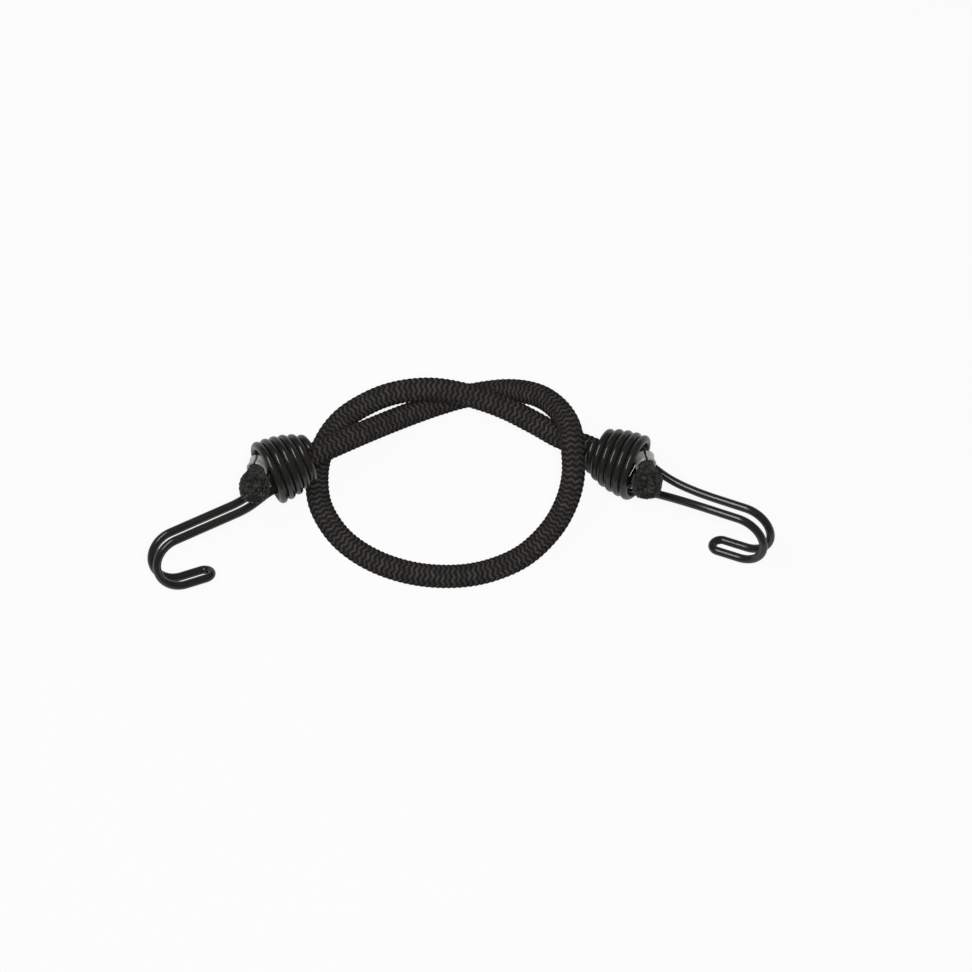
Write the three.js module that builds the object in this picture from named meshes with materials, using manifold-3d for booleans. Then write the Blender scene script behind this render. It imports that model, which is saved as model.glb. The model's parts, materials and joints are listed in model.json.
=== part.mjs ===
// Bungee cord: a braided elastic cord lying in a loose overhand loop, with a coiled double-wire hook at each
// end. Millimetres, +Z up. The cord and the hooks' bends lie on z = 0, with one hook to the left (-X) and one
// to the right.

import * as THREE from 'three';
import { mergeVertices } from 'three/addons/utils/BufferGeometryUtils.js';
import Module from 'manifold-3d';

// Elastic cord
const CORD_DIAMETER = 9;
const SLEEVE_WALL = 1.4;
const PIECE_GAP = 0.3;
const CORD_SIDES = 10;
const CORE_SIDES = 8;
const CORD_STEPS = 64;

// Hook wire
const WIRE_DIAMETER = 3;
const WIRE_SIDES = 6;
const WIRE_FLAT = 0.5;
const TWIN_SPACING = 6.4;
const LEFT_REACH = 42.6;
const RIGHT_REACH = 44.9;
const BEND_RADIUS = 10.5;
const BEND_STEPS = 10;
const TIP_STEPS = 4;

// Coil of the hook, wound from one end of the wire. The other end is tucked into the coil's mouth.
const TURN_PITCH = 3.42;
const COIL_TURNS = 5.4;
const STEPS_PER_TURN = 24;
const MOUTH_RADIUS = 11.45;
const SMALL_RADIUS = 7.05;
const COIL_BULGE = 2.4;
const TUCK_DEPTH = 3.5;
const TUCK_CURL = 9;
const COIL_CURL = 5;
const LEG_STEPS = 12;
const GAP_SPAN = 3 * WIRE_DIAMETER;

// Swollen end of the cord, wedged in the coil, pinched by a clamp and falling over in a spread stub
const END_DEPTH = 17.6;
const LEAD_LENGTH = 5;
const SEAT_BACK = 16.6;
const SEAT_FRONT = 15;
const SEAT_GAP = 0.35;
const NECK_RADIUS = 2.7;
const SHIFT_START = -12;
const NECK_SHIFT = 6.4;
const LEAN_START = -3;
const NECK_BEND = 4.5;
const NECK_TILT = 50;
const NECK_ROUND = 45;
const NECK_STEPS = 2;
const STUB_BEND = 6.5;
const STUB_TILT = 20;
const STUB_RADIUS = 6.1;
const STUB_LENGTH = 12.2;
const STUB_FLARE = 7;
const FLARE_STEPS = 5;
const CUT_RADIUS = 4;
const CUT_STEPS = 3;
const CUT_STANDOUT = 0.7;
const END_CORE_GAP = 0.5;
const END_SIDES = 12;

// Clamp ring round the neck
const CLAMP_WIDTH = 4.4;
const CLAMP_WALL = 0.9;
const CLAMP_GAP = 0.4;
const CLAMP_SEAM = 14;
const CLAMP_SEAM_SIDE = 180;
const CLAMP_STEPS = 20;

// Side of the block that trims the underside flat
const FLOOR_SIZE = 400;

// Colours
const BRAID_BLACK = 0x1b1a18;
const RUBBER_BLACK = 0x151413;
const WIRE_BLACK = 0x141413;
const CLAMP_GREY = 0x8c8a87;
const BRAID_ROUGHNESS = 0.9;
const RUBBER_ROUGHNESS = 0.85;
const WIRE_ROUGHNESS = 0.35;
const CLAMP_ROUGHNESS = 0.3;

// The two ends: where the coil's mouth is, which way its axis points (degrees), and how its hook is bent.
// Offsets are from the coil's axis, towards the tip's side and then across the two wires. The reaches say how
// far back from where the legs meet each leg keeps to the shaft's line, first for the wound leg.
const ENDS = [
  {
    name: 'left',
    hand: 1,
    mouth: [-75.07, 11.82],
    heading: 205.2,
    rise: 6,
    roll: 40.7,
    exit: 285,
    tuck: [6.6, 2.1],
    legReach: [13.2, 10.4],
    legsMeet: 17.4,
    shaftEnd: LEFT_REACH,
    meetOffset: [7, 3.7],
    shaftOffset: [7.6, 3.5],
    bendTurn: 172,
    tipLength: 7.9,
    facing: 125,
  },
  {
    name: 'right',
    hand: -1,
    mouth: [68.45, 15.08],
    heading: -26.8,
    rise: 10,
    roll: 26.4,
    exit: 345,
    tuck: [1.4, 6.6],
    legReach: [20, 27],
    legsMeet: 33.4,
    shaftEnd: RIGHT_REACH,
    meetOffset: [1.3, -0.35],
    shaftOffset: [-0.1, -0.2],
    bendTurn: 179,
    tipLength: 9.4,
    facing: 131,
  },
];

// Route of the free cord between the two coils: a low crossing, the big loop, and back over and under itself
const ROUTE = [
  [-42, 28.1, 14],
  [-31, 34.2, 9.7],
  [-20, 39.8, 5.9],
  [-9, 44.4, 4],
  [2.6, 47.8, 3.8],
  [18.6, 49.2, 6],
  [30.2, 45.4, 11.8],
  [37.8, 38.4, 16.8],
  [41.9, 30.2, 20.4],
  [43, 21.2, 21.9],
  [43.3, 11.8, 20],
  [41.2, 3, 15],
  [35.4, -6.7, 8.6],
  [24.5, -16.6, 4.3],
  [11.2, -22.6, 3.6],
  [-2.4, -24.9, 3.6],
  [-19.2, -23.6, 3.6],
  [-35, -18, 3.6],
  [-46.7, -9.4, 3.6],
  [-54.2, 2.2, 3.6],
  [-56.1, 11.6, 3.6],
  [-55.5, 21.3, 3.6],
  [-52.4, 30.2, 3.6],
  [-46.6, 37.7, 4.4],
  [-37.8, 43.1, 7.1],
  [-26.6, 46.6, 11],
  [-12.2, 47.6, 13.5],
  [1.8, 45.2, 14],
  [15.8, 40.8, 12.8],
  [28.7, 34.7, 10.8],
  [38.4, 29.4, 9.8],
];

const CORD_RADIUS = CORD_DIAMETER / 2;
const SLEEVE_BORE = CORD_RADIUS - SLEEVE_WALL;
const CORE_RADIUS = SLEEVE_BORE - PIECE_GAP;
const WIRE_RADIUS = WIRE_DIAMETER / 2;
const COIL_LENGTH = TURN_PITCH * COIL_TURNS;
const FULL_TURN = 2 * Math.PI;
const RIGHT_ANGLE = 90;

const wasm = await Module();
wasm.setup();

const radians = THREE.MathUtils.degToRad;
const vector = (x, y, z) => new THREE.Vector3(x, y, z);

// Closed solids from geometry, and back, for trimming

function toSolid(geometry) {
  const bare = geometry.clone();
  bare.deleteAttribute('normal');
  bare.deleteAttribute('uv');
  const merged = mergeVertices(bare);
  return new wasm.Manifold(new wasm.Mesh({
    numProp: 3,
    vertProperties: new Float32Array(merged.attributes.position.array),
    triVerts: new Uint32Array(merged.index.array),
  }));
}

function toGeometry(solid) {
  const mesh = solid.getMesh();
  const geometry = new THREE.BufferGeometry();
  geometry.setAttribute('position', new THREE.BufferAttribute(new Float32Array(mesh.vertProperties), 3));
  geometry.setIndex(new THREE.BufferAttribute(new Uint32Array(mesh.triVerts), 1));
  return geometry;
}

function trimToFloor(geometry) {
  const floor = new THREE.BoxGeometry(FLOOR_SIZE, FLOOR_SIZE, FLOOR_SIZE);
  floor.translate(0, 0, -FLOOR_SIZE / 2);
  return toGeometry(toSolid(geometry).subtract(toSolid(floor)));
}

// A skin over a row of rings with equal counts. Closed rows join their last ring to their first.

function skinRings(rings, closed) {
  const sides = rings[0].length;
  const positions = rings.flat().flatMap((point) => point.toArray());
  const index = [];
  const at = (ring, side) => (ring % rings.length) * sides + (side % sides);
  const spans = closed ? rings.length : rings.length - 1;
  for (let ring = 0; ring < spans; ring += 1) {
    for (let side = 0; side < sides; side += 1) {
      index.push(at(ring, side), at(ring, side + 1), at(ring + 1, side));
      index.push(at(ring, side + 1), at(ring + 1, side + 1), at(ring + 1, side));
    }
  }
  if (!closed) {
    const last = rings.length - 1;
    for (let side = 1; side < sides - 1; side += 1) {
      index.push(at(0, 0), at(0, side + 1), at(0, side));
      index.push(at(last, 0), at(last, side), at(last, side + 1));
    }
  }
  const geometry = new THREE.BufferGeometry();
  geometry.setAttribute('position', new THREE.Float32BufferAttribute(positions, 3));
  geometry.setIndex(index);
  return geometry;
}

// Rings square to a path, turned as little as possible from one to the next

function ringsAlong(path, radii, sides) {
  const tangents = path.map((point, i) => {
    const before = path[Math.max(i - 1, 0)];
    const after = path[Math.min(i + 1, path.length - 1)];
    return after.clone().sub(before).normalize();
  });
  const first = Math.abs(tangents[0].z) < Math.abs(tangents[0].y) ? vector(0, 0, 1) : vector(0, 1, 0);
  let normal = first.projectOnPlane(tangents[0]).normalize();
  return path.map((point, i) => {
    if (i > 0) {
      const turn = new THREE.Quaternion().setFromUnitVectors(tangents[i - 1], tangents[i]);
      normal = normal.clone().applyQuaternion(turn);
    }
    const binormal = tangents[i].clone().cross(normal);
    return Array.from({ length: sides }, (unused, side) => {
      const angle = (FULL_TURN * side) / sides;
      return point.clone()
        .addScaledVector(normal, radii[i] * Math.cos(angle))
        .addScaledVector(binormal, radii[i] * Math.sin(angle));
    });
  });
}

// The hook's coil: a barrel, widest at the mouth, at 0, and drawn in towards the small end

function coilRadius(along) {
  const back = Math.max(-along, 0) / COIL_LENGTH;
  return MOUTH_RADIUS - (MOUTH_RADIUS - SMALL_RADIUS) * back ** COIL_BULGE;
}

function coilPath(end) {
  const steps = Math.round(COIL_TURNS * STEPS_PER_TURN);
  return Array.from({ length: steps + 1 }, (unused, step) => {
    const turns = (step - steps) / STEPS_PER_TURN;
    const angle = radians(end.exit) + FULL_TURN * turns;
    const along = TURN_PITCH * turns;
    const radius = coilRadius(along);
    return vector(along, radius * Math.cos(angle), radius * Math.sin(angle));
  });
}

// One half of the hook's wire, from its end to the middle of the tip. Side -1 is wound into the coil, and
// side 1 starts tucked into the coil's mouth.

function halfWire(end, side) {
  const path = side < 0 ? coilPath(end) : [vector(-TUCK_DEPTH, ...end.tuck)];
  const leave = path[path.length - 1];
  const heading = side < 0 ? leave.clone().sub(path[path.length - 2]).normalize() : vector(1, 0, 0);
  const [woundReach, tuckedReach] = end.legReach;
  const across = (offset) => offset + (side * TWIN_SPACING) / 2;
  const meet = vector(end.legsMeet, end.meetOffset[0], across(end.meetOffset[1]));
  const bend = vector(end.shaftEnd, end.shaftOffset[0], across(end.shaftOffset[1]));
  const along = bend.clone().sub(meet).normalize();
  const leg = new THREE.CubicBezierCurve3(
    leave,
    leave.clone().addScaledVector(heading, side < 0 ? COIL_CURL : TUCK_CURL),
    meet.clone().addScaledVector(along, side < 0 ? -woundReach : -tuckedReach),
    meet,
  );
  path.push(...leg.getPoints(LEG_STEPS).slice(1), bend);
  const inward = vector(0, 1, 0).projectOnPlane(along).normalize();
  const centre = bend.clone().addScaledVector(inward, BEND_RADIUS);
  const turn = radians(end.bendTurn);
  for (let step = 1; step <= BEND_STEPS; step += 1) {
    const angle = (turn * step) / BEND_STEPS;
    path.push(centre.clone()
      .addScaledVector(inward, -BEND_RADIUS * Math.cos(angle))
      .addScaledVector(along, BEND_RADIUS * Math.sin(angle)));
  }
  const out = along.clone().multiplyScalar(Math.cos(turn)).addScaledVector(inward, Math.sin(turn));
  const inwards = vector(0, 0, -side);
  const tip = path[path.length - 1].clone().addScaledVector(out, end.tipLength);
  for (let step = 0; step <= TIP_STEPS; step += 1) {
    const angle = (Math.PI / 2 / TIP_STEPS) * step;
    path.push(tip.clone()
      .addScaledVector(out, (TWIN_SPACING / 2) * Math.sin(angle))
      .addScaledVector(inwards, (TWIN_SPACING / 2) * (1 - Math.cos(angle))));
  }
  return path;
}

function wirePath(end) {
  const tucked = halfWire(end, 1).reverse();
  return [...halfWire(end, -1), ...tucked.slice(1)];
}

// The wire's least gap to itself, between points that are well apart along it

function leastGap(path) {
  const lengths = [0];
  for (let i = 1; i < path.length; i += 1) lengths.push(lengths[i - 1] + path[i].distanceTo(path[i - 1]));
  let least = Infinity;
  for (let i = 0; i < path.length; i += 1) {
    for (let j = i + 1; j < path.length; j += 1) {
      if (lengths[j] - lengths[i] > GAP_SPAN) least = Math.min(least, path[i].distanceTo(path[j]));
    }
  }
  return least - WIRE_DIAMETER;
}

// The end's own axes: along the coil towards the hook, towards the tip's side, and across the two wires.
// The height puts the lowest point of the wire just under the floor, where it is trimmed flat.

function endFrame(end, path) {
  const heading = radians(end.heading);
  const rise = radians(end.rise);
  const axis = vector(
    Math.cos(heading) * Math.cos(rise),
    Math.sin(heading) * Math.cos(rise),
    Math.sin(rise),
  );
  const down = vector(0, 0, -1).projectOnPlane(axis).normalize();
  const level = axis.clone().cross(down);
  const roll = radians(end.hand * end.roll);
  const tipSide = down.multiplyScalar(Math.cos(roll)).addScaledVector(level, Math.sin(roll));
  const frame = new THREE.Matrix4().makeBasis(axis, tipSide, axis.clone().cross(tipSide));
  const lowest = Math.min(...path.map((point) => point.clone().applyMatrix4(frame).z));
  return frame.setPosition(end.mouth[0], end.mouth[1], WIRE_RADIUS - WIRE_FLAT - lowest);
}

// Bends of the cord's end past the coil, in turn: degrees turned, length, and how far round from the side that
// it faces it turns. It rises out of the mouth, runs straight through the clamp, and falls over.
const LEAN = [
  [NECK_TILT, NECK_BEND * radians(NECK_TILT), NECK_ROUND],
  [0, CLAMP_WIDTH + 2 * PIECE_GAP, 0],
  [STUB_TILT, STUB_BEND * radians(STUB_TILT), RIGHT_ANGLE],
  [0, Infinity, 0],
];
const NECK_START = LEAN_START + LEAN[0][1];
const NECK_FRONT = NECK_START + LEAN[1][1];

// The middle of the cord's end: drawn to one side of the coil, then leaning over to its cut face

function endPath(end, stations) {
  const sideways = (degrees) => {
    const angle = radians(end.hand * degrees);
    return vector(0, Math.cos(angle), Math.sin(angle));
  };
  const shift = sideways(end.facing + RIGHT_ANGLE);
  return stations.map((along) => {
    const point = vector(Math.min(along, LEAN_START), 0, 0);
    point.addScaledVector(shift, NECK_SHIFT * THREE.MathUtils.smoothstep(along, SHIFT_START, LEAN_START));
    let left = Math.max(along - LEAN_START, 0);
    let heading = vector(1, 0, 0);
    LEAN.forEach(([degrees, length, round]) => {
      const run = Math.min(left, length);
      const turn = (radians(degrees) * run) / length;
      const chord = turn > 0 ? (run * Math.sin(turn / 2)) / (turn / 2) : run;
      const lean = sideways(end.facing - round).projectOnPlane(heading).normalize();
      const before = heading;
      const turned = (angle) => before.clone()
        .multiplyScalar(Math.cos(angle))
        .addScaledVector(lean, Math.sin(angle));
      point.addScaledVector(turned(turn / 2), chord);
      heading = turned(turn);
      left -= run;
    });
    return point;
  });
}

// Places along the cord's end and its outer radius there, from the coil to the cut face

function endProfile() {
  const seat = (back) => coilRadius(-back) - WIRE_RADIUS - SEAT_GAP;
  const profile = [
    [-END_DEPTH, CORD_RADIUS],
    [-SEAT_BACK, seat(SEAT_BACK)],
    [-SEAT_FRONT, seat(SEAT_FRONT)],
    [SHIFT_START, (seat(SEAT_FRONT) + NECK_RADIUS) / 2],
    [(SHIFT_START + LEAN_START) / 2, NECK_RADIUS],
    [LEAN_START, NECK_RADIUS],
  ];
  for (let step = 1; step <= NECK_STEPS; step += 1) {
    profile.push([THREE.MathUtils.lerp(LEAN_START, NECK_START, step / NECK_STEPS), NECK_RADIUS]);
  }
  profile.push([NECK_FRONT, NECK_RADIUS]);
  for (let step = 1; step <= FLARE_STEPS; step += 1) {
    const spread = Math.sin((Math.PI / 2 / FLARE_STEPS) * step);
    const along = NECK_FRONT + (STUB_FLARE * step) / FLARE_STEPS;
    profile.push([along, THREE.MathUtils.lerp(NECK_RADIUS, STUB_RADIUS, spread)]);
  }
  for (let step = 1; step <= CUT_STEPS; step += 1) {
    const angle = (Math.PI / 2 / CUT_STEPS) * step;
    const along = NECK_FRONT + STUB_FLARE + (STUB_LENGTH - STUB_FLARE) * Math.sin(angle);
    profile.push([along, THREE.MathUtils.lerp(CUT_RADIUS, STUB_RADIUS, Math.cos(angle))]);
  }
  return profile;
}

function endSleeve(end) {
  const profile = endProfile();
  const path = endPath(end, profile.map(([along]) => along));
  const outer = ringsAlong(path, profile.map(([, radius]) => radius), END_SIDES);
  const inner = ringsAlong(path, profile.map(([, radius]) => radius - SLEEVE_WALL), END_SIDES);
  return skinRings([...outer, ...inner.reverse()], true);
}

function endCore(end) {
  const profile = endProfile();
  const stations = profile.map(([along]) => along);
  const radii = profile.map(([, radius]) => radius - SLEEVE_WALL - END_CORE_GAP);
  stations.push(stations[stations.length - 1] + CUT_STANDOUT);
  radii.push(radii[radii.length - 1]);
  return skinRings(ringsAlong(endPath(end, stations), radii, END_SIDES), false);
}

// The clamp: a strip rolled round the neck, with a seam where its two ends meet

function clampRing(end) {
  const bore = NECK_RADIUS + CLAMP_GAP;
  const seamStart = radians(end.hand * CLAMP_SEAM_SIDE + CLAMP_SEAM / 2);
  const seamEnd = seamStart + FULL_TURN - radians(CLAMP_SEAM);
  const arc = (radius) => Array.from({ length: CLAMP_STEPS + 1 }, (unused, step) => {
    const angle = seamStart + ((seamEnd - seamStart) * step) / CLAMP_STEPS;
    return new THREE.Vector2(radius * Math.cos(angle), radius * Math.sin(angle));
  });
  const strip = new THREE.Shape([...arc(bore + CLAMP_WALL), ...arc(bore).reverse()]);
  const ring = new THREE.ExtrudeGeometry(strip, { depth: CLAMP_WIDTH, bevelEnabled: false });
  ring.translate(0, 0, -CLAMP_WIDTH / 2);
  const middle = (NECK_START + NECK_FRONT) / 2;
  const [before, place, after] = endPath(end, [middle - PIECE_GAP, middle, middle + PIECE_GAP]);
  const along = after.sub(before).normalize();
  const tipSide = vector(0, 1, 0).projectOnPlane(along).normalize();
  const frame = new THREE.Matrix4().makeBasis(tipSide, along.clone().cross(tipSide), along);
  return ring.applyMatrix4(frame.setPosition(place));
}

// The free cord: a braided sleeve and the rubber core inside it

function polygon(radius, sides) {
  return Array.from({ length: sides }, (unused, side) => {
    const angle = (FULL_TURN * side) / sides;
    return new THREE.Vector2(radius * Math.cos(angle), radius * Math.sin(angle));
  });
}

function cordCurve(frames) {
  const onAxis = (frame, along) => vector(along, 0, 0).applyMatrix4(frame);
  const split = -END_DEPTH - PIECE_GAP;
  const [left, right] = frames;
  return new THREE.CatmullRomCurve3([
    onAxis(left, split),
    onAxis(left, split - LEAD_LENGTH),
    ...ROUTE.map((point) => vector(...point)),
    onAxis(right, split - LEAD_LENGTH),
    onAxis(right, split),
  ]);
}

function freeSleeve(curve) {
  const section = new THREE.Shape(polygon(CORD_RADIUS, CORD_SIDES));
  section.holes.push(new THREE.Path(polygon(SLEEVE_BORE, CORD_SIDES)));
  const options = { steps: CORD_STEPS, extrudePath: curve, bevelEnabled: false };
  return trimToFloor(new THREE.ExtrudeGeometry(section, options));
}

function freeCore(curve) {
  const section = new THREE.Shape(polygon(CORE_RADIUS, CORE_SIDES));
  return new THREE.ExtrudeGeometry(section, { steps: CORD_STEPS, extrudePath: curve, bevelEnabled: false });
}

// Assembly

const bungeeCord = new THREE.Group();

function addPiece(name, geometry, color, roughness, metalness) {
  geometry.deleteAttribute('uv');
  geometry.computeVertexNormals();
  const mesh = new THREE.Mesh(geometry, new THREE.MeshStandardMaterial({ color, roughness, metalness }));
  mesh.name = name;
  bungeeCord.add(mesh);
}

const frames = ENDS.map((end) => {
  const path = wirePath(end);
  const frame = endFrame(end, path);
  const wire = skinRings(ringsAlong(path, path.map(() => WIRE_RADIUS), WIRE_SIDES), false);
  console.log(`${end.name}_hook least gap to itself: ${leastGap(path).toFixed(2)} mm`);
  addPiece(`${end.name}_hook`, trimToFloor(wire.applyMatrix4(frame)), WIRE_BLACK, WIRE_ROUGHNESS, 0);
  addPiece(`${end.name}_end_sleeve`, endSleeve(end).applyMatrix4(frame), BRAID_BLACK, BRAID_ROUGHNESS, 0);
  addPiece(`${end.name}_end_core`, endCore(end).applyMatrix4(frame), RUBBER_BLACK, RUBBER_ROUGHNESS, 0);
  addPiece(`${end.name}_clamp_ring`, clampRing(end).applyMatrix4(frame), CLAMP_GREY, CLAMP_ROUGHNESS, 1);
  return frame;
});

const curve = cordCurve(frames);
addPiece('cord_sleeve', freeSleeve(curve), BRAID_BLACK, BRAID_ROUGHNESS, 0);
addPiece('cord_core', freeCore(curve), RUBBER_BLACK, RUBBER_ROUGHNESS, 0);

export default bungeeCord;
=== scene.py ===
import json
import math

import bpy
import numpy as np
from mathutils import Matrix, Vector

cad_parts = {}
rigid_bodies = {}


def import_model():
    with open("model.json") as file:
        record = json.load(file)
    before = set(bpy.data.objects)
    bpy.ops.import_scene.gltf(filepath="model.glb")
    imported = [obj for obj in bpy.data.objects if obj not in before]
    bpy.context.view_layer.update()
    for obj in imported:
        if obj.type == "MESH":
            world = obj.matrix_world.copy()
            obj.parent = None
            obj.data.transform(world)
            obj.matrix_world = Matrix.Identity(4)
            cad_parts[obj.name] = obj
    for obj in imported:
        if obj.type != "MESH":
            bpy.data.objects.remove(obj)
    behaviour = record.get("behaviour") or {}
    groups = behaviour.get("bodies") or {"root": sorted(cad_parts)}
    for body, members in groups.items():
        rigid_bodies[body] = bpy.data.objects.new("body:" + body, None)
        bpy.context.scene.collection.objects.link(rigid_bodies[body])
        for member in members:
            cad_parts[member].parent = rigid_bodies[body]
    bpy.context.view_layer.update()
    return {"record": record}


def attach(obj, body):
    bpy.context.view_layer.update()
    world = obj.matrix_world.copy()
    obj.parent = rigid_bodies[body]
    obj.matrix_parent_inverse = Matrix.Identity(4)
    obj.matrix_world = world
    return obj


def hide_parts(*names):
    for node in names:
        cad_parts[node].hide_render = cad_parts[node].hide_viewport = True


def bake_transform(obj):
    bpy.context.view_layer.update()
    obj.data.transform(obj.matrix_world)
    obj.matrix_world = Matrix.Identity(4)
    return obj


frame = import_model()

MM = 0.001

# Cord
CORD_RADIUS = 4.5 * MM
BRAID_RIBS = 16
BRAID_PITCH = 2.0 * MM
BRAID_SLANT = 0.45
BRAID_DEPTH = 0.32 * MM
BRAID_RADIUS = CORD_RADIUS + BRAID_DEPTH / 2
BRAID_WANDER = 0.5
CROWN_ROUND = 0.7
# How tightly the braid's painted sheen gathers on the floats' crowns
CROWN_SHARPNESS = 1.6
RIB_ROUND = 0.4
SIDES_PER_RIB = 6
ROWS_PER_PITCH = 6
LEAD_LENGTH = 5 * MM
PIECE_GAP = 0.3 * MM

# Hook wire
WIRE_RADIUS = 1.5 * MM
WIRE_COAT = 0.14 * MM
WIRE_SIDES = 20
WIRE_STEP = 0.5 * MM
WIRE_END_ROUND = 0.82
TWIN_SPACING = 6.4 * MM
BEND_RADIUS = 10.5 * MM
TURN_PITCH = 3.42 * MM
COIL_TURNS = 5.4
STEPS_PER_TURN = 72
MOUTH_RADIUS = 11.45 * MM
SMALL_RADIUS = 7.05 * MM
COIL_BULGE = 2.4
COIL_LENGTH = TURN_PITCH * COIL_TURNS
TUCK_DEPTH = 3.5 * MM
TUCK_CURL = 9 * MM
COIL_CURL = 5 * MM
LEG_STEPS = 40
SHAFT_STEPS = 8
BEND_STEPS = 40
TIP_STEPS = 16

# Cord end
END_DEPTH = 17.6 * MM
SEAT_BACK = 16.6 * MM
SEAT_FRONT = 15 * MM
SEAT_GAP = 0.35 * MM
SHIFT_START = -12 * MM
NECK_SHIFT = 6.4 * MM
NECK_RADIUS = 2.7 * MM
LEAN_START = -3 * MM
NECK_BEND = 4.5 * MM
NECK_TILT = math.radians(50)
NECK_ROUND = 45
STUB_BEND = 6.5 * MM
STUB_TILT = math.radians(20)
STUB_ROUND = 90
STRAIGHT_ON = 1.0
STUB_RADIUS = 6.1 * MM
STUB_LENGTH = 12.2 * MM
STUB_FLARE = 7 * MM
CUT_RADIUS = 4 * MM

# Gathered yarn at the clamp, and lumps in the spread stub
PLEATS = 13
PLEAT_WANDER = 0.6
PLEAT_WANDER_WAVES = 3
PLEAT_DEPTH = 0.3 * MM
PLEAT_REACH = 3.5 * MM
PLEAT_FADE = 2
LUMP_DEPTH = 0.3 * MM
LUMP_WAVES = range(2, 8)
LUMP_DRIFT = 900

# Cut face of the cord: rubber strands with yarn ends round them. Ranges of height, ring, length and radius,
# and the jitter, are in millimetres
STRAND_SPACING = 0.95 * MM
STRAND_RADIUS = 0.44 * MM
STRAND_SIDES = 9
STRAND_ROW = math.sqrt(0.75)
BUNDLE_RADIUS = 3.1 * MM
STRAND_HEIGHT = (0.15, 0.75)
STRAND_JITTER = 0.05
STRAND_CHAMFER = 0.1 * MM
STRAND_TIP = 0.75
YARN_COUNT = 130
YARN_RING = (3.2, 4.7)
YARN_LENGTH = (0.25, 0.8)
YARN_RADIUS = (0.09, 0.2)
YARN_SIDES = 5
YARN_ROOT = 0.6 * MM
YARN_RIM_DROP = 0.45
YARN_SPLAY = (0.25, 0.45)
YARN_SWAY = 0.5
YARN_CURL = (0.1, 0.4)
YARN_TAPER = (1, 1, 0.8, 0.35)

# Clamp strip. Its profile has places across half its width, and rises in millimetres
CLAMP_WIDTH = 4.4 * MM
CLAMP_WALL = 0.9 * MM
CLAMP_GAP = 0.4 * MM
CLAMP_SEAM = math.radians(14)
CLAMP_STEPS = 64
CLAMP_BEVEL = 0.22 * MM
BEVEL_SEGMENTS = 3
BEVEL_ANGLE = math.radians(50)
CLAMP_PROFILE = [(-1, 0.12), (-0.7, 0.05), (-0.25, -0.18), (0.25, -0.18), (0.7, 0.05), (1, 0.12)]

# Bends of the cord's end past the coil: how far it turns, over what length, and how many degrees round that
# is from where the end faces
LEAN = [
    (NECK_TILT, NECK_BEND * NECK_TILT, NECK_ROUND),
    (0, CLAMP_WIDTH + 2 * PIECE_GAP, 0),
    (STUB_TILT, STUB_BEND * STUB_TILT, STUB_ROUND),
    (0, STRAIGHT_ON, 0),
]
NECK_START = LEAN_START + LEAN[0][1]
NECK_FRONT = NECK_START + LEAN[1][1]
CUT = NECK_FRONT + STUB_LENGTH

# Where the cord is divided into its two leads and the loop, in millimetres on the floor plan
LEFT_SEAM = (-3, 46.1)
RIGHT_SEAM = (-6, 47.1)

# Sizes that differ between the two ends, in millimetres and degrees
ENDS = {
    "left": dict(hand=1, roll=40.7, exit=285, tuck=(6.6, 2.1), leg_reach=(13.2, 10.4), legs_meet=17.4,
                 shaft_end=42.6, meet=(7, 3.7), shaft=(7.6, 3.5), bend_turn=172, tip=7.9, facing=125, seed=3),
    "right": dict(hand=-1, roll=26.4, exit=345, tuck=(1.4, 6.6), leg_reach=(20, 27), legs_meet=33.4,
                  shaft_end=44.9, meet=(1.3, -0.35), shaft=(-0.1, -0.2), bend_turn=179, tip=9.4, facing=131,
                  seed=8),
}

# Route of the free cord between the coils, in millimetres
ROUTE = [
    (-42, 28.1, 14), (-31, 34.2, 9.7), (-20, 39.8, 5.9), (-9, 44.4, 4), (2.6, 47.8, 3.8), (18.6, 49.2, 6),
    (30.2, 45.4, 11.8), (37.8, 38.4, 16.8), (41.9, 30.2, 20.4), (43, 21.2, 21.9), (43.3, 11.8, 20),
    (41.2, 3, 15), (35.4, -6.7, 8.6), (24.5, -16.6, 4.3), (11.2, -22.6, 3.6), (-2.4, -24.9, 3.6),
    (-19.2, -23.6, 3.6), (-35, -18, 3.6), (-46.7, -9.4, 3.6), (-54.2, 2.2, 3.6), (-56.1, 11.6, 3.6),
    (-55.5, 21.3, 3.6), (-52.4, 30.2, 3.6), (-46.6, 37.7, 4.4), (-37.8, 43.1, 7.1), (-26.6, 46.6, 11),
    (-12.2, 47.6, 13.5), (1.8, 45.2, 14), (15.8, 40.8, 12.8), (28.7, 34.7, 10.8), (38.4, 29.4, 9.8),
]
KNOT_STEPS = 40

# Meshes: the sharpest edge that is shaded smooth, when a line counts as upright, and a way that no stem runs
SMOOTH_ANGLE = math.radians(60)
NEARLY_UPRIGHT = 0.1
SKEW = (0.31, 0.77, 0.55)

# Camera: the photograph's view from above, a little in front
CAMERA_TARGET = Vector((9.63, 12.22, 0)) * MM
CAMERA_ELEVATION = math.radians(75)
CAMERA_DISTANCE = 1.6
SENSOR_WIDTH = 36
PHOTO_PIXELS = 972
PIXEL_SIZE = 0.39 * MM
VIEW_WIDTH = PHOTO_PIXELS * PIXEL_SIZE

# Colours, darkest and palest
BRAID_DARK = (0.0072, 0.0067, 0.0059, 1)
# The braid's palest colour is the painted sheen on the crowns of its floats
BRAID_SHEEN = (0.064, 0.062, 0.058, 1)
FRAY_DARK = (0.0040, 0.0038, 0.0033, 1)
FRAY_PALE = (0.066, 0.064, 0.060, 1)
YARN_DARK = (0.007, 0.0068, 0.006, 1)
YARN_PALE = (0.075, 0.073, 0.069, 1)
RUBBER_DARK = (0.0035, 0.0034, 0.0032, 1)
RUBBER_PALE = (0.014, 0.0135, 0.013, 1)
WIRE_DARK = (0.0055, 0.0053, 0.0047, 1)
WIRE_PALE = (0.0100, 0.0096, 0.0086, 1)
STEEL_DARK = (0.38, 0.37, 0.35, 1)
STEEL_PALE = (0.62, 0.605, 0.585, 1)
FLOOR_COLOUR = (0.38, 0.38, 0.38, 1)
WHITE = (1, 1, 1, 1)

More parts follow.
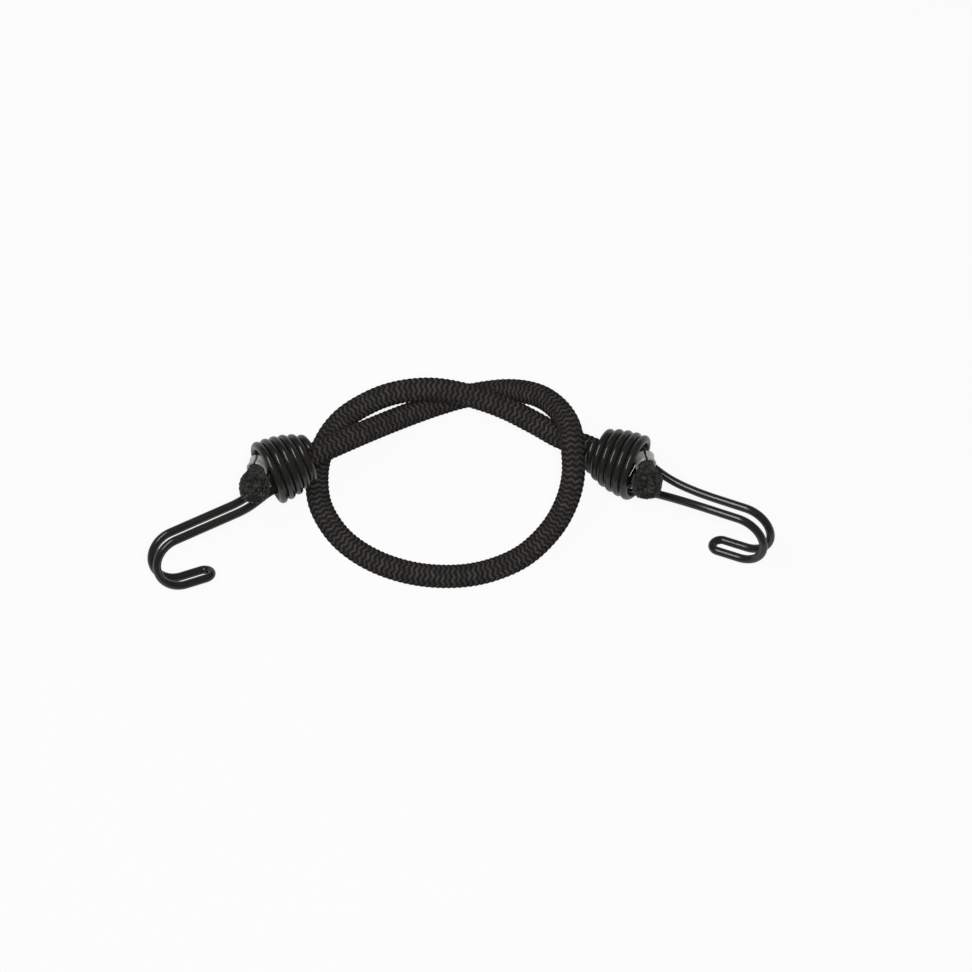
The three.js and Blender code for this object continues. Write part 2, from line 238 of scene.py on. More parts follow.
# Grain of the materials, in features to the metre
BRAID_WANDER_GRAIN = 700
BRAID_BLOTCH_GRAIN = 300
BRAID_FIBRE_GRAIN = 3200
FRAY_MOTTLE_GRAIN = 680
FRAY_FIBRE_GRAIN = 3600
FRAY_FLECK_GRAIN = 1900
YARN_GRAIN = 800
RUBBER_DUST_GRAIN = 1500
WIRE_FLOW_GRAIN = 120
WIRE_FINE_GRAIN = 2400
STEEL_FILM_GRAIN = 420
STEEL_MARK_GRAIN = 3000

# Depth of the materials' bumps
BRAID_BUMP = 0.12 * MM
FRAY_BUMP = 0.3 * MM
RUBBER_BUMP = 0.1 * MM
WIRE_BUMP = 0.06 * MM
STEEL_BUMP = 0.05 * MM

# Light
WORLD_STRENGTH = 0.12
KEY_PLACE = (-0.64, 0.16, 1.23)
KEY_SIZE = (1.1, 0.28)
KEY_POWER = 10
FILL_PLACE = (0.05, -0.35, 1.5)
FILL_SIZE = (0.5, 0.5)
FILL_POWER = 34
FLOOR_SIZE = 6
FLOOR_GLOW = 0.91


# Materials

class Value:
    """A socket's value in a material. Arithmetic on it adds Math nodes."""

    def __init__(self, tree, socket):
        self.tree = tree
        self.socket = socket

    def math(self, operation, *others):
        inputs = {0: self}
        inputs.update({i + 1: other for i, other in enumerate(others)})
        return add_node(self.tree, "ShaderNodeMath", {"operation": operation}, inputs)

    def __add__(self, other):
        return self.math("ADD", other)

    __radd__ = __add__

    def __mul__(self, other):
        return self.math("MULTIPLY", other)

    __rmul__ = __mul__

    def __sub__(self, other):
        return self.math("SUBTRACT", other)

    def __rsub__(self, other):
        return (self * -1) + other

    def __pow__(self, other):
        return self.math("POWER", other)


def add_node(tree, kind, settings=None, inputs=None, output=0):
    """Add a node with its settings, then its sockets' values or links, and return one output."""
    node = tree.nodes.new(kind)
    for name, value in (settings or {}).items():
        setattr(node, name, value)
    for key, value in (inputs or {}).items():
        if isinstance(value, Value):
            tree.links.new(value.socket, node.inputs[key])
        else:
            node.inputs[key].default_value = value
    return Value(tree, node.outputs[output])


def new_finish(name, **constants):
    """Start a material and set what is the same all over it on its shader."""
    material = bpy.data.materials.new(name)
    material.use_nodes = True
    tree = material.node_tree
    shader = tree.nodes["Principled BSDF"]
    for socket, value in constants.items():
        shader.inputs[socket.replace("_", " ")].default_value = value
    return material, tree, shader


def feed(tree, shader, socket, value):
    """Link a changing value to one of the shader's sockets."""
    tree.links.new(value.socket, shader.inputs[socket])


def mix_colours(tree, factor, first, second):
    """Mix two colours by a factor."""
    return add_node(tree, "ShaderNodeMix", {"data_type": "RGBA"}, {0: factor, 6: first, 7: second}, output=2)


def bump(tree, height, strength, distance):
    """A bump from a height."""
    inputs = {"Strength": strength, "Distance": distance, "Height": height}
    return add_node(tree, "ShaderNodeBump", {}, inputs)


def noise(tree, vector, scale, detail=3.0, roughness=0.6):
    """Noise over some coordinates."""
    inputs = {"Vector": vector, "Scale": scale, "Detail": detail, "Roughness": roughness}
    return add_node(tree, "ShaderNodeTexNoise", {}, inputs)


def braid_finish():
    """Black braid: slanted yarn floats in facing ribs with a painted sheen on their crowns, stronger on some
    floats than others, with loose fibres.
    """
    material, tree, shader = new_finish("black_braid", Specular_IOR_Level=0.06)
    uv = add_node(tree, "ShaderNodeTexCoord", output="UV")
    place = add_node(tree, "ShaderNodeTexCoord", output="Object")
    rib = add_node(tree, "ShaderNodeSeparateXYZ", {}, {0: uv})
    along = Value(tree, rib.socket.node.outputs[1])
    across = rib.math("FRACT") - 0.5
    side = 1 - 2 * rib.math("FLOOR").math("MODULO", 2.0)
    wander = noise(tree, place, BRAID_WANDER_GRAIN, 2.0) - 0.5
    phase = along + side * across * BRAID_SLANT + wander * BRAID_WANDER
    crown = 0.5 + 0.5 * (phase * math.tau).math("COSINE")
    cell = add_node(tree, "ShaderNodeCombineXYZ", {}, {0: rib.math("FLOOR"), 1: (phase + 0.5).math("FLOOR")})
    own = add_node(tree, "ShaderNodeTexWhiteNoise", {"noise_dimensions": "3D"}, {"Vector": cell})
    fibres = noise(tree, place, BRAID_FIBRE_GRAIN, 2.0)
    blotch = noise(tree, place, BRAID_BLOTCH_GRAIN, 3.0)
    # Painted sheen: the floats' crowns are painted paler, varied at random by float, blotch and fibre
    crown_sheen = (crown ** CROWN_SHARPNESS) * (0.26 + own * 0.34) * (0.5 + blotch * 0.7) * (0.35 + fibres * 1.2)
    crown_sheen = crown_sheen.math("MINIMUM", 1.0)
    colour = mix_colours(tree, crown_sheen, BRAID_DARK, BRAID_SHEEN)
    feed(tree, shader, "Base Color", colour)
    feed(tree, shader, "Roughness", 0.78 + fibres * 0.2)
    feed(tree, shader, "Normal", bump(tree, fibres * 0.6 + crown * 0.4, 0.6, BRAID_BUMP))
    return material


def frayed_finish():
    """The spread end of the braid: mottled black yarn, with paler fibre ends."""
    material, tree, shader = new_finish("frayed_braid", Sheen_Weight=0.05, Sheen_Roughness=0.5,
                                        Specular_IOR_Level=0.15)
    place = add_node(tree, "ShaderNodeTexCoord", output="Object")
    mottle = noise(tree, place, FRAY_MOTTLE_GRAIN, 4.0, 0.65)
    fibres = noise(tree, place, FRAY_FIBRE_GRAIN, 2.0)
    flecks = ((noise(tree, place, FRAY_FLECK_GRAIN, 1.0) - 0.66) * 9).math("MAXIMUM", 0.0)
    patches = ((mottle - 0.46) * 5.0).math("MAXIMUM", 0.0).math("MINIMUM", 1.0)
    pale = patches * (0.12 + fibres * 0.5) + flecks
    pale = pale.math("MINIMUM", 1.0)
    colour = mix_colours(tree, pale, FRAY_DARK, FRAY_PALE)
    feed(tree, shader, "Base Color", colour)
    feed(tree, shader, "Roughness", 0.8 + fibres * 0.18)
    feed(tree, shader, "Normal", bump(tree, mottle * 0.7 + fibres * 0.3, 0.9, FRAY_BUMP))
    return material


def yarn_finish():
    """Cut yarn ends: grey fibres, some of them pale."""
    material, tree, shader = new_finish("yarn_ends", Sheen_Weight=0.1, Sheen_Roughness=0.5,
                                        Specular_IOR_Level=0.15)
    place = add_node(tree, "ShaderNodeTexCoord", output="Object")
    own = noise(tree, place, YARN_GRAIN, 2.0)
    pale = ((own - 0.4) * 3.5).math("MAXIMUM", 0.0).math("MINIMUM", 1.0)
    colour = mix_colours(tree, pale, YARN_DARK, YARN_PALE)
    feed(tree, shader, "Base Color", colour)
    feed(tree, shader, "Roughness", 0.75 + own * 0.2)
    return material


def rubber_finish():
    """Dusty black rubber of the core's strands."""
    material, tree, shader = new_finish("black_rubber", Specular_IOR_Level=0.3)
    place = add_node(tree, "ShaderNodeTexCoord", output="Object")
    dust = noise(tree, place, RUBBER_DUST_GRAIN, 4.0)
    colour = mix_colours(tree, dust, RUBBER_DARK, RUBBER_PALE)
    feed(tree, shader, "Base Color", colour)
    feed(tree, shader, "Roughness", 0.6 + dust * 0.3)
    feed(tree, shader, "Normal", bump(tree, dust, 0.5, RUBBER_BUMP))
    return material


def wire_finish():
    """Satin black coat on the hook wire, slightly uneven, with faint rubs."""
    material, tree, shader = new_finish("coated_wire", Specular_IOR_Level=0.5)
    place = add_node(tree, "ShaderNodeTexCoord", output="Object")
    flow = noise(tree, place, WIRE_FLOW_GRAIN, 2.0)
    grain = noise(tree, place, WIRE_FINE_GRAIN, 3.0)
    colour = mix_colours(tree, flow, WIRE_DARK, WIRE_PALE)
    feed(tree, shader, "Base Color", colour)
    feed(tree, shader, "Roughness", 0.16 + flow * 0.08 + grain * 0.04)
    feed(tree, shader, "Normal", bump(tree, flow * 0.9 + grain * 0.1, 0.12, WIRE_BUMP))
    return material


def clamp_finish():
    """Plain bright steel strip with fine rolling marks and a dull film."""
    material, tree, shader = new_finish("clamp_steel", Metallic=0.72)
    place = add_node(tree, "ShaderNodeTexCoord", output="Object")
    film = noise(tree, place, STEEL_FILM_GRAIN, 3.0)
    marks = noise(tree, place, STEEL_MARK_GRAIN, 2.0)
    colour = mix_colours(tree, film, STEEL_DARK, STEEL_PALE)
    feed(tree, shader, "Base Color", colour)
    feed(tree, shader, "Roughness", 0.3 + film * 0.16 + marks * 0.06)
    feed(tree, shader, "Normal", bump(tree, marks, 0.2, STEEL_BUMP))
    return material


def floor_finish():
    """White floor: white to the camera, with the object's shadow left on it."""
    material, tree, shader = new_finish("white_floor", Roughness=0.9, Specular_IOR_Level=0.0)
    shader.inputs["Base Color"].default_value = FLOOR_COLOUR
    seen = add_node(tree, "ShaderNodeLightPath", output="Is Camera Ray")
    glow = add_node(tree, "ShaderNodeEmission", {}, {"Color": WHITE, "Strength": 1.0})
    mixed = add_node(tree, "ShaderNodeMixShader", {}, {0: seen * FLOOR_GLOW, 2: glow})
    tree.links.new(shader.outputs[0], mixed.socket.node.inputs[1])
    tree.links.new(mixed.socket, tree.nodes["Material Output"].inputs["Surface"])
    return material


# Meshes

def deselect_all():
    """Leave nothing selected or active."""
    for thing in bpy.context.view_layer.objects:
        thing.select_set(False)
    bpy.context.view_layer.objects.active = None


def mesh_piece(name, points, faces, material):
    """A closed mesh piece with its place in its mesh."""
    mesh = bpy.data.meshes.new(name)
    mesh.from_pydata([tuple(p) for p in points], [], [tuple(f) for f in faces])
    mesh.update()
    piece = bpy.data.objects.new(name, mesh)
    bpy.context.collection.objects.link(piece)
    deselect_all()
    piece.select_set(True)
    bpy.context.view_layer.objects.active = piece
    bpy.ops.object.shade_smooth_by_angle(angle=SMOOTH_ANGLE)
    mesh.materials.append(material)
    return piece


# Paths

def spline_points(knots, spacing):
    """Points at even spacing along a smooth curve through the knots."""
    first = 2 * knots[0] - knots[1]
    last = 2 * knots[-1] - knots[-2]
    padded = [first, *knots, last]
    fine = []
    for before, start, end, after in zip(padded, padded[1:], padded[2:], padded[3:]):
        into, over, out = ((b - a).length ** 0.5 for a, b in ((before, start), (start, end), (end, after)))
        slope_start = over * ((start - before) / into - (end - before) / (into + over) + (end - start) / over)
        slope_end = over * ((end - start) / over - (after - start) / (over + out) + (after - end) / out)
        for step in range(KNOT_STEPS):
            t = step / KNOT_STEPS
            fine.append(start * (2 * t**3 - 3 * t**2 + 1) + slope_start * (t**3 - 2 * t**2 + t)
                        + end * (3 * t**2 - 2 * t**3) + slope_end * (t**3 - t**2))
    fine.append(knots[-1])
    return even_points(fine, spacing)


def even_points(points, spacing):
    """The same line with points at even spacing."""
    line = np.array([tuple(p) for p in points])
    lengths = np.concatenate(([0], np.cumsum(np.linalg.norm(np.diff(line, axis=0), axis=1))))
    count = max(2, round(lengths[-1] / spacing))
    places = np.linspace(0, lengths[-1], count + 1)
    return np.stack([np.interp(places, lengths, line[:, axis]) for axis in range(3)], axis=1)


def carried_frames(line):
    """Directions across a line at each point, turned as little as possible from one to the next."""
    tangents = np.gradient(line, axis=0)
    tangents /= np.linalg.norm(tangents, axis=1)[:, None]
    normal = np.cross(tangents[0], (0.0, 0.0, 1.0))
    if np.linalg.norm(normal) < NEARLY_UPRIGHT:
        normal = np.cross(tangents[0], (0.0, 1.0, 0.0))
    normals = []
    for tangent in tangents:
        normal = normal - tangent * normal.dot(tangent)
        normal = normal / np.linalg.norm(normal)
        normals.append(normal)
    normals = np.array(normals)
    return normals, np.cross(tangents, normals)


def tube_faces(rings, sides):
    """Quads between rings of points, and a face over each end."""
    ring, side = np.meshgrid(np.arange(rings - 1), np.arange(sides), indexing="ij")
    across = (side + 1) % sides
    quads = np.stack((ring * sides + side, ring * sides + across,
                      (ring + 1) * sides + across, (ring + 1) * sides + side), axis=-1).reshape(-1, 4)
    faces = quads.tolist()
    faces.append(list(range(sides - 1, -1, -1)))
    faces.append(list(range((rings - 1) * sides, rings * sides)))
    return faces


class CordEnd:
    """One end of the cord with its hook: its axes and the paths that its pieces follow."""

    def __init__(self, name):
        self.name = name
        self.sizes = ENDS[name]
        self.hand = self.sizes["hand"]
        joint = next(j for j in frame["record"]["behaviour"]["joints"] if j["name"] == f"{name}_hook_swivel")
        self.mouth = Vector(joint["pos_m"])
        self.axis = Vector(joint["axis"]).normalized()
        down = Vector((0, 0, -1))
        down = (down - self.axis * down.dot(self.axis)).normalized()
        roll = math.radians(self.hand * self.sizes["roll"])
        self.tip_side = down * math.cos(roll) + self.axis.cross(down) * math.sin(roll)
        self.across = self.axis.cross(self.tip_side)

    def place(self, local):
        """A point given along the coil, towards the tip's side and across the two wires."""
        return self.mouth + self.axis * local[0] + self.tip_side * local[1] + self.across * local[2]

    def coil_path(self):
        """The coil, wound from its small end to its mouth."""
        steps = round(COIL_TURNS * STEPS_PER_TURN)
        path = []
        for step in range(steps + 1):
            turns = (step - steps) / STEPS_PER_TURN
            angle = math.radians(self.sizes["exit"]) + math.tau * turns
            along = TURN_PITCH * turns
            radius = coil_radius(along)
            path.append(Vector((along, radius * math.cos(angle), radius * math.sin(angle))))
        return path

    def half_wire(self, side):
        """Half of the wire, to the middle of the tip. Side -1 is wound, and side 1 is tucked in the mouth."""
        tip_side, across = self.sizes["tuck"]
        path = self.coil_path() if side < 0 else [Vector((-TUCK_DEPTH, tip_side * MM, across * MM))]
        leave = path[-1]
        heading = (path[-1] - path[-2]).normalized() if side < 0 else Vector((1, 0, 0))
        meet = self.twin_place("legs_meet", "meet", side)
        bend = self.twin_place("shaft_end", "shaft", side)
        along = (bend - meet).normalized()
        wound_reach, tucked_reach = self.sizes["leg_reach"]
        reach, curl = (wound_reach * MM, COIL_CURL) if side < 0 else (tucked_reach * MM, TUCK_CURL)
        path += bezier(leave, leave + heading * curl, meet - along * reach, meet, LEG_STEPS)
        path += [meet.lerp(bend, step / SHAFT_STEPS) for step in range(1, SHAFT_STEPS + 1)]
        inward = Vector((0, 1, 0))
        inward = (inward - along * inward.dot(along)).normalized()
        centre = bend + inward * BEND_RADIUS
        turn = math.radians(self.sizes["bend_turn"])
        for step in range(1, BEND_STEPS + 1):
            angle = turn * step / BEND_STEPS
            path.append(centre + (along * math.sin(angle) - inward * math.cos(angle)) * BEND_RADIUS)
        out = along * math.cos(turn) + inward * math.sin(turn)
        tip = path[-1] + out * self.sizes["tip"] * MM
        between = Vector((0, 0, -side))
        for step in range(TIP_STEPS + 1):
            angle = math.pi / 2 * step / TIP_STEPS
            path.append(tip + out * (TWIN_SPACING / 2 * math.sin(angle))
                        + between * (TWIN_SPACING / 2 * (1 - math.cos(angle))))
        return path

    def twin_place(self, along, offset, side):
        """Where one of the two wires passes a place on the shaft."""
        tip_side, across = self.sizes[offset]
        return Vector((self.sizes[along] * MM, tip_side * MM, across * MM + side * TWIN_SPACING / 2))

    def wire_path(self):
        """The whole wire, from one end through the tip to the other end."""
        path = self.half_wire(-1) + self.half_wire(1)[::-1][1:]
        return [self.place(p) for p in path]

    def sideways(self, degrees):
        """A direction square to the coil's axis."""
        angle = math.radians(self.hand * degrees)
        return Vector((0, math.cos(angle), math.sin(angle)))

    def end_points(self, stations):
        """The middle of the cord's end: drawn to one side of the coil, then leaning over to the cut face."""
        facing = self.sizes["facing"]
        shift = self.sideways(facing + 90)
        points = []
        for along in stations:
            t = min(max((along - SHIFT_START) / (LEAN_START - SHIFT_START), 0), 1)
            point = Vector((min(along, LEAN_START), 0, 0)) + shift * (NECK_SHIFT * t * t * (3 - 2 * t))
            left = max(along - LEAN_START, 0)
            heading = Vector((1, 0, 0))
            for turn_all, length, round_from in LEAN:
                run = min(left, length)
                turn = turn_all * run / length
                chord = run * math.sin(turn / 2) / (turn / 2) if turn > 0 else run
                lean = self.sideways(facing - round_from)
                lean = (lean - heading * lean.dot(heading)).normalized()
                point += (heading * math.cos(turn / 2) + lean * math.sin(turn / 2)) * chord
                heading = heading * math.cos(turn) + lean * math.sin(turn)
                left -= run
            points.append(self.place(point))
        return points


def coil_radius(along):
    """The coil's radius: widest at its mouth, at 0, and drawn in towards its small end."""
    back = max(-along, 0) / COIL_LENGTH
    return MOUTH_RADIUS - (MOUTH_RADIUS - SMALL_RADIUS) * back ** COIL_BULGE


def bezier(a, b, c, d, steps):
    """Points along a curve from a to d, after the first."""
    points = []
    for step in range(1, steps + 1):
        t = step / steps
        points.append(a * (1 - t)**3 + b * (3 * t * (1 - t)**2) + c * (3 * t**2 * (1 - t)) + d * t**3)
    return points


# Pieces

def braid_height(column, along):
    """Height of the braid, from 0 in its furrows to 1 on the crowns of its slanted floats."""
    across = column % 1 - 0.5
    side = 1 - 2 * (np.floor(column) % 2)
    phase = along / BRAID_PITCH + side * across * BRAID_SLANT
    crown = 0.5 + 0.5 * np.cos(math.tau * phase)
    return crown ** CROWN_ROUND * (1 - RIB_ROUND + RIB_ROUND * np.cos(math.pi * across))


def braid_tube(name, line, frames, radii, start, material):
    """A braided tube along a line. Start is how far along the whole cord the line begins."""
    sides = BRAID_RIBS * SIDES_PER_RIB
    normals, binormals = frames
    spacing = np.linalg.norm(line[1] - line[0])
    along = start + spacing * np.arange(len(line))
    column = np.arange(sides) / SIDES_PER_RIB
    angle = column / BRAID_RIBS * math.tau
    height = braid_height(column[None, :], along[:, None])
    radius = radii - BRAID_DEPTH * (1 - height)
    points = (line[:, None, :]
              + normals[:, None, :] * (radius * np.cos(angle))[..., None]
              + binormals[:, None, :] * (radius * np.sin(angle))[..., None]).reshape(-1, 3)
    points[:, 2] = np.maximum(points[:, 2], 0)
    piece = mesh_piece(name, points, tube_faces(len(line), sides), material)
    paint_braid_uv(piece.data, len(line), sides, along)
    return piece


def paint_braid_uv(mesh, rings, sides, along):
    """UV of a braided tube: ribs round it and pitches along it."""
    layer = mesh.uv_layers.new(name="braid")
    ring, side = np.meshgrid(np.arange(rings - 1), np.arange(sides), indexing="ij")
    u = np.stack((side, side + 1, side + 1, side), axis=-1) / SIDES_PER_RIB
    v = along[np.stack((ring, ring, ring + 1, ring + 1), axis=-1)] / BRAID_PITCH
    uv = np.zeros((len(mesh.loops), 2))
    uv[:u.size] = np.stack((u.ravel(), v.ravel()), axis=-1)
    layer.data.foreach_set("uv", uv.ravel())


def wire_hook(end, material):
    """The hook: one coated wire swept along its whole path, trimmed flat where it stands."""
    line = even_points(end.wire_path(), WIRE_STEP)
    normals, binormals = carried_frames(line)
    angle = np.arange(WIRE_SIDES) / WIRE_SIDES * math.tau
    radii = np.full(len(line), WIRE_RADIUS + WIRE_COAT)
    radii[[0, -1]] *= WIRE_END_ROUND
    points = (line[:, None, :]
              + normals[:, None, :] * (radii[:, None] * np.cos(angle))[..., None]
              + binormals[:, None, :] * (radii[:, None] * np.sin(angle))[..., None]).reshape(-1, 3)
    points[:, 2] = np.maximum(points[:, 2], 0)
    piece = mesh_piece(f"{end.name}_wire_hook", points, tube_faces(len(line), WIRE_SIDES), material)
    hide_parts(f"{end.name}_hook")
    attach(piece, f"{end.name}_hook_body")


def end_radii(stations):
    """Outer radius of the cord's end: seated in the coil, pinched at the neck, spread in a pear shape."""
    seat = [coil_radius(-back) - WIRE_RADIUS - SEAT_GAP for back in (SEAT_BACK, SEAT_FRONT)]
    places = [-END_DEPTH, -SEAT_BACK, -SEAT_FRONT, SHIFT_START, (SHIFT_START + LEAN_START) / 2]
    radii = np.interp(stations, places, [CORD_RADIUS, *seat, (seat[1] + NECK_RADIUS) / 2, NECK_RADIUS])
    flare = np.clip((stations - NECK_FRONT) / STUB_FLARE, 0, 1)
    radii += (STUB_RADIUS - NECK_RADIUS) * np.sin(math.pi / 2 * flare)
    rounding = np.clip((stations - NECK_FRONT - STUB_FLARE) / (STUB_LENGTH - STUB_FLARE), 0, 1)
    return radii - (STUB_RADIUS - CUT_RADIUS) * (1 - np.sqrt(1 - rounding ** 2))


def stub_relief(stations, angle, seed):
    """How far the stub stands out from its round shape: pleats at the clamp, then slow lumps."""
    random = np.random.default_rng(seed)
    beyond = stations[:, None] - NECK_FRONT
    spread = np.clip(beyond / STUB_FLARE, 0, 1)
    wander = PLEAT_WANDER * np.sin(PLEAT_WANDER_WAVES * angle)
    fading = np.exp(-np.abs(beyond / PLEAT_REACH - 1) * PLEAT_FADE)
    pleats = np.cos(PLEATS * angle + wander) * fading
    lumps = np.zeros((len(stations), len(angle)))
    for waves in LUMP_WAVES:
        turn, drift = random.uniform(0, math.tau), random.uniform(-LUMP_DRIFT, LUMP_DRIFT)
        lumps += np.cos(waves * angle + turn + drift * beyond) / waves
    return np.sqrt(spread) * (PLEAT_DEPTH * pleats + LUMP_DEPTH * lumps)


def cord_end(end, frayed):
    """The end of the cover: through the coil and the clamp, and spread past it."""
    rows = round((CUT + END_DEPTH) / (BRAID_PITCH / ROWS_PER_PITCH))
    stations = np.linspace(-END_DEPTH, CUT, rows + 1)
    line = np.array([tuple(p) for p in end.end_points(stations)])
    angle = np.arange(BRAID_RIBS * SIDES_PER_RIB) / (BRAID_RIBS * SIDES_PER_RIB) * math.tau
    radii = end_radii(stations)[:, None] + stub_relief(stations, angle, end.sizes["seed"])
    piece = braid_tube(f"{end.name}_end_cover", line, carried_frames(line), radii, 0, frayed)
    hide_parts(f"{end.name}_end_sleeve")
    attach(piece, f"{end.name}_cord_end")


def cut_axes(end):
    """The middle of the cut face, the way it looks, and two directions in it."""
    before, middle = (np.array(p) for p in end.end_points([CUT - 1 * MM, CUT]))
    out = (middle - before) / np.linalg.norm(middle - before)
    first = np.cross(out, np.array(end.axis))
    first /= np.linalg.norm(first)
    return middle, out, first, np.cross(out, first)


def small_tubes(name, stems, sides, material):
    """Many small closed tubes as one piece. A stem is a list of centres, radii and a direction."""
    points, faces = [], []
    angle = np.arange(sides) / sides * math.tau
    for centres, radii, along in stems:
        across = np.cross(along, SKEW)
        across /= np.linalg.norm(across)
        other = np.cross(along, across)
        start = len(points)
        for centre, radius in zip(centres, radii):
            ring = np.cos(angle)[:, None] * across + np.sin(angle)[:, None] * other
            points += list(centre + radius * ring)
        faces += [[start + corner for corner in face] for face in tube_faces(len(centres), sides)]
    return mesh_piece(name, points, faces, material)


def rubber_strands(end, material):
    """The cut ends of the core's rubber strands, packed in a bundle and cut unevenly."""
    random = np.random.default_rng(end.sizes["seed"] + 1)
    middle, out, first, second = cut_axes(end)
    stems = []
    reach = int(BUNDLE_RADIUS / STRAND_SPACING) + 1
    for row in range(-reach, reach + 1):
        for column in range(-reach, reach + 1):
            x = (column + 0.5 * (row % 2)) * STRAND_SPACING + random.normal(0, STRAND_JITTER) * MM
            y = row * STRAND_SPACING * STRAND_ROW + random.normal(0, STRAND_JITTER) * MM
            if math.hypot(x, y) > BUNDLE_RADIUS:
                continue
            base = middle + first * x + second * y
            height = random.uniform(*STRAND_HEIGHT) * MM
            shoulder = base + out * (height - STRAND_CHAMFER)
            centres = [base - out * STRAND_SPACING, shoulder, base + out * height]
            stems.append((centres, [STRAND_RADIUS, STRAND_RADIUS, STRAND_TIP * STRAND_RADIUS], out))
    piece = small_tubes(f"{end.name}_rubber_strands", stems, STRAND_SIDES, material)
    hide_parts(f"{end.name}_end_core")
    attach(piece, f"{end.name}_cord_end")


def yarn_ends(end, material):
    """The cover's cut yarns, in ragged tufts round the rubber strands."""
    random = np.random.default_rng(end.sizes["seed"] + 2)
    middle, out, first, second = cut_axes(end)
    stems = []
    for _ in range(YARN_COUNT):
        turn = random.uniform(0, math.tau)
        ring = random.uniform(*YARN_RING)
        away = first * math.cos(turn) + second * math.sin(turn)
        base = middle + away * ring * MM - out * (ring - YARN_RING[0]) * YARN_RIM_DROP * MM
        lean = out + away * random.normal(*YARN_SPLAY) + np.cross(out, away) * random.normal(0, YARN_SWAY)
        lean /= np.linalg.norm(lean)
        length = random.uniform(*YARN_LENGTH) * MM
        bent = lean + away * random.normal(*YARN_CURL)
        bent /= np.linalg.norm(bent)
        halfway = base + lean * length / 2
        centres = [base - out * YARN_ROOT, base, halfway, base + (lean + bent) * length / 2]
        thick = random.uniform(*YARN_RADIUS) * MM
        stems.append((centres, [thick * share for share in YARN_TAPER], lean))
    piece = small_tubes(f"{end.name}_yarn_ends", stems, YARN_SIDES, material)
    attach(piece, f"{end.name}_cord_end")


def clamp_ring(end, material):
    """The clamp: a strip rolled round the neck, with raised edges, its ends meeting at a seam."""
    before, middle, after = end.end_points([(NECK_START + NECK_FRONT) / 2 + step * MM for step in (-1, 0, 1)])
    along = (after - before).normalized()
    tip_side = (end.tip_side - along * end.tip_side.dot(along)).normalized()
    turned = along.cross(tip_side)
    radius = NECK_RADIUS + CLAMP_GAP + CLAMP_WALL / 2
    width = len(CLAMP_PROFILE)
    points = []
    faces = []
    for step in range(CLAMP_STEPS + 1):
        angle = math.pi + CLAMP_SEAM / 2 + (math.tau - CLAMP_SEAM) * step / CLAMP_STEPS
        out = tip_side * math.cos(angle) + turned * math.sin(angle)
        for place, rise in CLAMP_PROFILE:
            points.append(middle + out * (radius + rise * MM) + along * (CLAMP_WIDTH / 2 * place))
    for step in range(CLAMP_STEPS):
        for row in range(width - 1):
            corner = step * width + row
            faces.append((corner, corner + width, corner + width + 1, corner + 1))
    piece = mesh_piece(f"{end.name}_clamp_strip", points, faces, material)
    add_modifier(piece, "SOLIDIFY", thickness=CLAMP_WALL, offset=0)
    add_modifier(piece, "BEVEL", width=CLAMP_BEVEL, segments=BEVEL_SEGMENTS, limit_method="ANGLE",
                 angle_limit=BEVEL_ANGLE)
    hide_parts(f"{end.name}_clamp_ring")
    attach(piece, f"{end.name}_cord_end")


def add_modifier(piece, kind, **settings):
    """Add a modifier and apply it."""
    deselect_all()
    piece.select_set(True)
    bpy.context.view_layer.objects.active = piece
    modifier = piece.modifiers.new(kind.lower(), kind)
    for name, value in settings.items():
        setattr(modifier, name, value)
    bpy.ops.object.modifier_apply(modifier=modifier.name)


def nearest_row(line, place):
    """The row of a line that passes nearest a place on the floor plan."""
    return int(np.argmin(np.hypot(line[:, 0] - place[0] * MM, line[:, 1] - place[1] * MM)))


def free_cord(left, right, material):
    """The free cord in three lengths: the two leads and the loop between them."""
    split = -END_DEPTH - PIECE_GAP
    knots = [left.place((split, 0, 0)), left.place((split - LEAD_LENGTH, 0, 0)),
             *[Vector(p) * MM for p in ROUTE],
             right.place((split - LEAD_LENGTH, 0, 0)), right.place((split, 0, 0))]
    line = spline_points(knots, BRAID_PITCH / ROWS_PER_PITCH)
    normals, binormals = carried_frames(line)
    spacing = np.linalg.norm(line[1] - line[0])
    half = len(line) // 2
    first = nearest_row(line[:half], LEFT_SEAM)
    second = half + nearest_row(line[half:], RIGHT_SEAM)
    lengths = {"left_lead": (0, first), "loop": (first, second), "right_lead": (second, len(line) - 1)}
    pieces = {}
    for name, (start, stop) in lengths.items():
        rows = slice(start, stop + 1)
        across = (normals[rows], binormals[rows])
        piece = braid_tube(f"{name}_cover", line[rows], across, BRAID_RADIUS, start * spacing, material)
        (stop - start) * spacing
        pieces[name] = piece
    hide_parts("cord_sleeve", "cord_core")
    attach(pieces["loop"], "cord")
    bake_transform(pieces["left_lead"])
    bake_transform(pieces["right_lead"])


# Stage

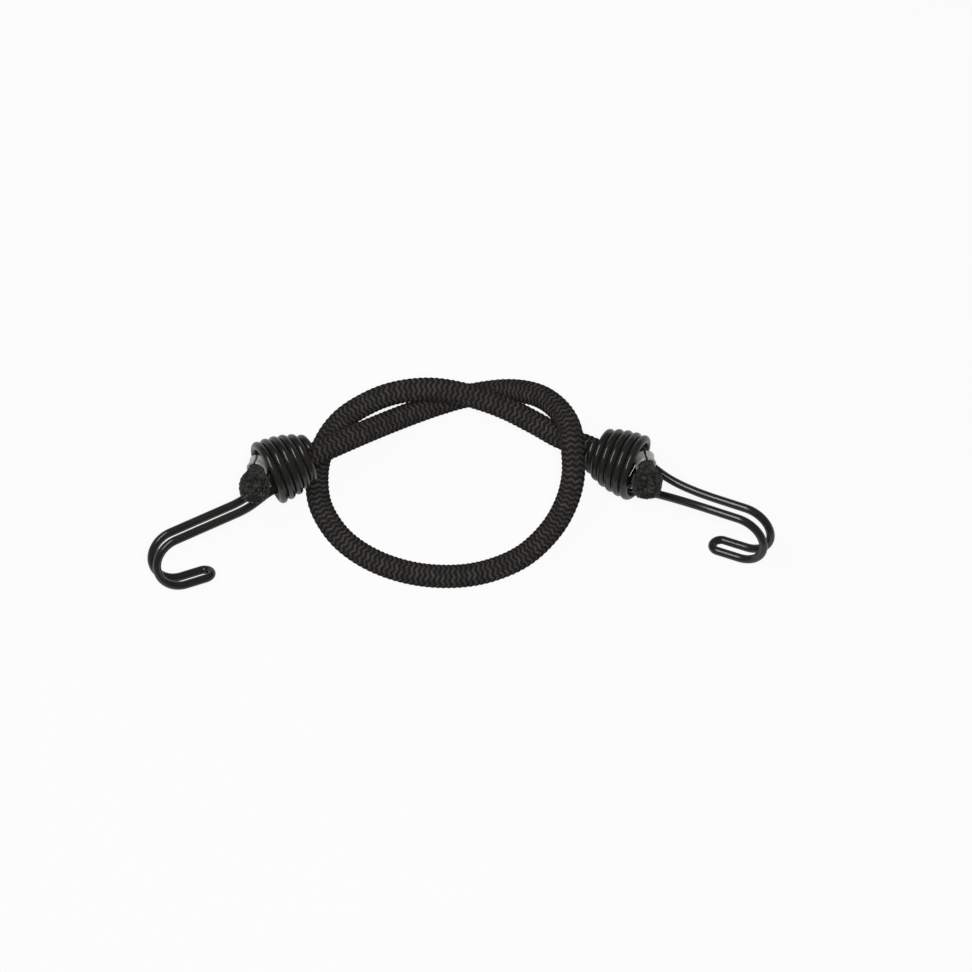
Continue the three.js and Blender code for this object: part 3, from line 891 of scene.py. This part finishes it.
def set_camera():
    """The photograph's camera."""
    camera = bpy.data.objects.new("camera", bpy.data.cameras.new("camera"))
    bpy.context.collection.objects.link(camera)
    back = Vector((0, -math.cos(CAMERA_ELEVATION), math.sin(CAMERA_ELEVATION)))
    camera.location = CAMERA_TARGET + back * CAMERA_DISTANCE
    camera.rotation_euler = (math.pi / 2 - CAMERA_ELEVATION, 0, 0)
    camera.data.sensor_width = SENSOR_WIDTH
    camera.data.lens = SENSOR_WIDTH * CAMERA_DISTANCE / VIEW_WIDTH
    bpy.context.scene.camera = camera


def add_lamp(name, place, size, power, mirrored):
    """A soft lamp that looks at the origin. The fill isn't mirrored in the wire."""
    lamp = bpy.data.objects.new(name, bpy.data.lights.new(name, "AREA"))
    bpy.context.collection.objects.link(lamp)
    lamp.data.shape = "RECTANGLE"
    lamp.data.size, lamp.data.size_y = size
    lamp.data.energy = power
    lamp.visible_glossy = mirrored
    lamp.location = place
    lamp.rotation_euler = (-Vector(place)).to_track_quat("-Z", "Y").to_euler()


def set_light():
    """Soft studio light, a dim room and a white floor."""
    world = bpy.data.worlds.new("room")
    bpy.context.scene.world = world
    world.use_nodes = True
    world.node_tree.nodes["Background"].inputs["Color"].default_value = WHITE
    world.node_tree.nodes["Background"].inputs["Strength"].default_value = WORLD_STRENGTH
    add_lamp("key", KEY_PLACE, KEY_SIZE, KEY_POWER, True)
    add_lamp("fill", FILL_PLACE, FILL_SIZE, FILL_POWER, False)
    deselect_all()
    bpy.ops.mesh.primitive_plane_add(size=FLOOR_SIZE, location=(0, 0, 0))
    floor = bpy.context.active_object
    floor.name = "floor"
    floor.data.materials.append(floor_finish())


bpy.context.scene.view_settings.view_transform = "Standard"
set_camera()
set_light()
left_end = CordEnd("left")
right_end = CordEnd("right")
free_cord(left_end, right_end, braid_finish())
frayed = frayed_finish()
yarn = yarn_finish()
rubber = rubber_finish()
wire = wire_finish()
steel = clamp_finish()
for end in (left_end, right_end):
    wire_hook(end, wire)
    cord_end(end, frayed)
    rubber_strands(end, rubber)
    yarn_ends(end, yarn)
    clamp_ring(end, steel)
